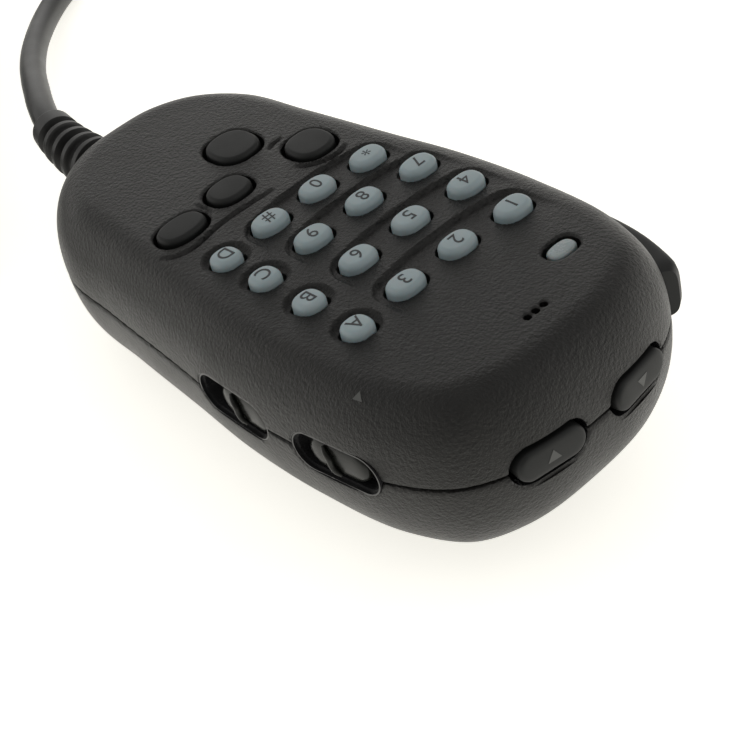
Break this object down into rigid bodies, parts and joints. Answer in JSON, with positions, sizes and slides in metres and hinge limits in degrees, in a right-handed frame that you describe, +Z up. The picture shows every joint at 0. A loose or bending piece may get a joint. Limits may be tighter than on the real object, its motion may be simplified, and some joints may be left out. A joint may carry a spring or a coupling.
{
  "type": "hand microphone with keypad",
  "caption": "Palm-sized two-way radio hand microphone with dialling keypad, scan buttons, slide switches, push-to-talk bar and curly cord.",
  "frame": {"origin": "centre of the microphone's footprint, strain relief included and free cord left out, on the surface it lies on", "axes": "+Y from the cord end to the top end, +Z up, +X to the right seen from the keypad; the case lies on its back, its top end tipped up 4.6 degrees by the hanger button"},
  "size_m": [0.1239, 0.2324, 0.0392],
  "materials": {
    "case_black": "fine leather-grain texture",
    "key_grey": "satin",
    "control_dark": "smooth satin",
    "button_black": "satin",
    "gloss_black": "polished",
    "rubber_black": "satin rubber",
    "rubber_grey": "matt silicone",
    "milky_lens": "milky diffuser",
    "board_green": "solder mask",
    "steel": "plated",
    "clear_plug": "clear polycarbonate",
    "white_plastic": "moulded nylon",
    "switch_black": "moulded"
  },
  "bodies": {
    "case": {"front_shell": "case_black", "rear_shell": "case_black", "up_switch": "switch_black", "down_switch": "switch_black", "lock_switch": "gloss_black", "lamp_switch": "gloss_black", "ptt_pin": "steel", "ptt_spring": "steel", "circuit_board": "board_green", "keypad_mat": "rubber_grey", "indicator_lens": "milky_lens", "mic_seal": "rubber_black", "mic_capsule": "steel", "indicator_led": "milky_lens", "dtmf_chip": "switch_black", "tone_crystal": "steel", "wire_connector": "white_plastic", "key_lamp_left": "white_plastic", "key_lamp_right": "white_plastic", "ptt_switch": "switch_black", "cord_clamp": "switch_black", "case_screw_1": "steel", "case_screw_2": "steel", "case_screw_3": "steel", "case_screw_4": "steel", "hanger_button": "button_black", "hanger_screw": "steel", "strain_relief": "rubber_black", "cord_lead": "rubber_black", "cord_curl": "rubber_black", "cord_tail": "rubber_black", "modular_plug": "clear_plug"},
    "key_1": {"key_1": "key_grey"},
    "key_2": {"key_2": "key_grey"},
    "key_3": {"key_3": "key_grey"},
    "key_a": {"key_a": "key_grey"},
    "key_4": {"key_4": "key_grey"},
    "key_5": {"key_5": "key_grey"},
    "key_6": {"key_6": "key_grey"},
    "key_b": {"key_b": "key_grey"},
    "key_7": {"key_7": "key_grey"},
    "key_8": {"key_8": "key_grey"},
    "key_9": {"key_9": "key_grey"},
    "key_c": {"key_c": "key_grey"},
    "key_star": {"key_star": "key_grey"},
    "key_0": {"key_0": "key_grey"},
    "key_hash": {"key_hash": "key_grey"},
    "key_d": {"key_d": "key_grey"},
    "key_p1": {"key_p1": "control_dark"},
    "key_p2": {"key_p2": "control_dark"},
    "key_p3": {"key_p3": "control_dark"},
    "key_p4": {"key_p4": "control_dark"},
    "up_button": {"up_button": "control_dark"},
    "down_button": {"down_button": "control_dark"},
    "lock_slider": {"lock_slider": "gloss_black"},
    "lamp_slider": {"lamp_slider": "gloss_black"},
    "ptt_bar": {"ptt_bar": "control_dark"}
  },
  "joints": [
    {"name": "key_1_press", "type": "slide", "parent": "case", "child": "key_1", "axis": [0, 0.0802, -0.9968], "range_m": [0, 0.001], "stiffness_N_per_m": 900, "springref_m": -0.0004},
    {"name": "key_2_press", "type": "slide", "parent": "case", "child": "key_2", "axis": [0, 0.0802, -0.9968], "range_m": [0, 0.001], "stiffness_N_per_m": 900, "springref_m": -0.0004},
    {"name": "key_3_press", "type": "slide", "parent": "case", "child": "key_3", "axis": [0, 0.0802, -0.9968], "range_m": [0, 0.001], "stiffness_N_per_m": 900, "springref_m": -0.0004},
    {"name": "key_a_press", "type": "slide", "parent": "case", "child": "key_a", "axis": [0, 0.0802, -0.9968], "range_m": [0, 0.001], "stiffness_N_per_m": 900, "springref_m": -0.0004},
    {"name": "key_4_press", "type": "slide", "parent": "case", "child": "key_4", "axis": [0, 0.0802, -0.9968], "range_m": [0, 0.001], "stiffness_N_per_m": 900, "springref_m": -0.0004},
    {"name": "key_5_press", "type": "slide", "parent": "case", "child": "key_5", "axis": [0, 0.0802, -0.9968], "range_m": [0, 0.001], "stiffness_N_per_m": 900, "springref_m": -0.0004},
    {"name": "key_6_press", "type": "slide", "parent": "case", "child": "key_6", "axis": [0, 0.0802, -0.9968], "range_m": [0, 0.001], "stiffness_N_per_m": 900, "springref_m": -0.0004},
    {"name": "key_b_press", "type": "slide", "parent": "case", "child": "key_b", "axis": [0, 0.0802, -0.9968], "range_m": [0, 0.001], "stiffness_N_per_m": 900, "springref_m": -0.0004},
    {"name": "key_7_press", "type": "slide", "parent": "case", "child": "key_7", "axis": [0, 0.0802, -0.9968], "range_m": [0, 0.001], "stiffness_N_per_m": 900, "springref_m": -0.0004},
    {"name": "key_8_press", "type": "slide", "parent": "case", "child": "key_8", "axis": [0, 0.0802, -0.9968], "range_m": [0, 0.001], "stiffness_N_per_m": 900, "springref_m": -0.0004},
    {"name": "key_9_press", "type": "slide", "parent": "case", "child": "key_9", "axis": [0, 0.0802, -0.9968], "range_m": [0, 0.001], "stiffness_N_per_m": 900, "springref_m": -0.0004},
    {"name": "key_c_press", "type": "slide", "parent": "case", "child": "key_c", "axis": [0, 0.0802, -0.9968], "range_m": [0, 0.001], "stiffness_N_per_m": 900, "springref_m": -0.0004},
    {"name": "key_star_press", "type": "slide", "parent": "case", "child": "key_star", "axis": [0, 0.0802, -0.9968], "range_m": [0, 0.001], "stiffness_N_per_m": 900, "springref_m": -0.0004},
    {"name": "key_0_press", "type": "slide", "parent": "case", "child": "key_0", "axis": [0, 0.0802, -0.9968], "range_m": [0, 0.001], "stiffness_N_per_m": 900, "springref_m": -0.0004},
    {"name": "key_hash_press", "type": "slide", "parent": "case", "child": "key_hash", "axis": [0, 0.0802, -0.9968], "range_m": [0, 0.001], "stiffness_N_per_m": 900, "springref_m": -0.0004},
    {"name": "key_d_press", "type": "slide", "parent": "case", "child": "key_d", "axis": [0, 0.0802, -0.9968], "range_m": [0, 0.001], "stiffness_N_per_m": 900, "springref_m": -0.0004},
    {"name": "key_p1_press", "type": "slide", "parent": "case", "child": "key_p1", "axis": [0, 0.0802, -0.9968], "range_m": [0, 0.001], "stiffness_N_per_m": 900, "springref_m": -0.0004},
    {"name": "key_p2_press", "type": "slide", "parent": "case", "child": "key_p2", "axis": [0, 0.0802, -0.9968], "range_m": [0, 0.001], "stiffness_N_per_m": 900, "springref_m": -0.0004},
    {"name": "key_p3_press", "type": "slide", "parent": "case", "child": "key_p3", "axis": [0, 0.0802, -0.9968], "range_m": [0, 0.001], "stiffness_N_per_m": 900, "springref_m": -0.0004},
    {"name": "key_p4_press", "type": "slide", "parent": "case", "child": "key_p4", "axis": [0, 0.0802, -0.9968], "range_m": [0, 0.001], "stiffness_N_per_m": 900, "springref_m": -0.0004},
    {"name": "up_button_press", "type": "slide", "parent": "case", "child": "up_button", "axis": [-0.1782, -0.9808, -0.0789], "range_m": [0, 0.0008], "stiffness_N_per_m": 1500, "springref_m": -0.0004},
    {"name": "down_button_press", "type": "slide", "parent": "case", "child": "down_button", "axis": [0.1203, -0.9895, -0.0796], "range_m": [0, 0.0008], "stiffness_N_per_m": 1500, "springref_m": -0.0004},
    {"name": "lock_slide", "type": "slide", "parent": "case", "child": "lock_slider", "axis": [-0.0797, 0.9936, 0.0799], "range_m": [-0.002, 0.002]},
    {"name": "lamp_slide", "type": "slide", "parent": "case", "child": "lamp_slider", "axis": [0.0626, 0.9948, 0.08], "range_m": [-0.004, 0]},
    {"name": "ptt_squeeze", "type": "hinge", "parent": "case", "child": "ptt_bar", "pos_m": [-0.02595, 0.01791, 0.02191], "axis": [0, 0.0802, -0.9968], "range_deg": [0, 1.5], "stiffness_Nm_per_rad": 2.4, "springref_deg": -1.15}
  ]
}
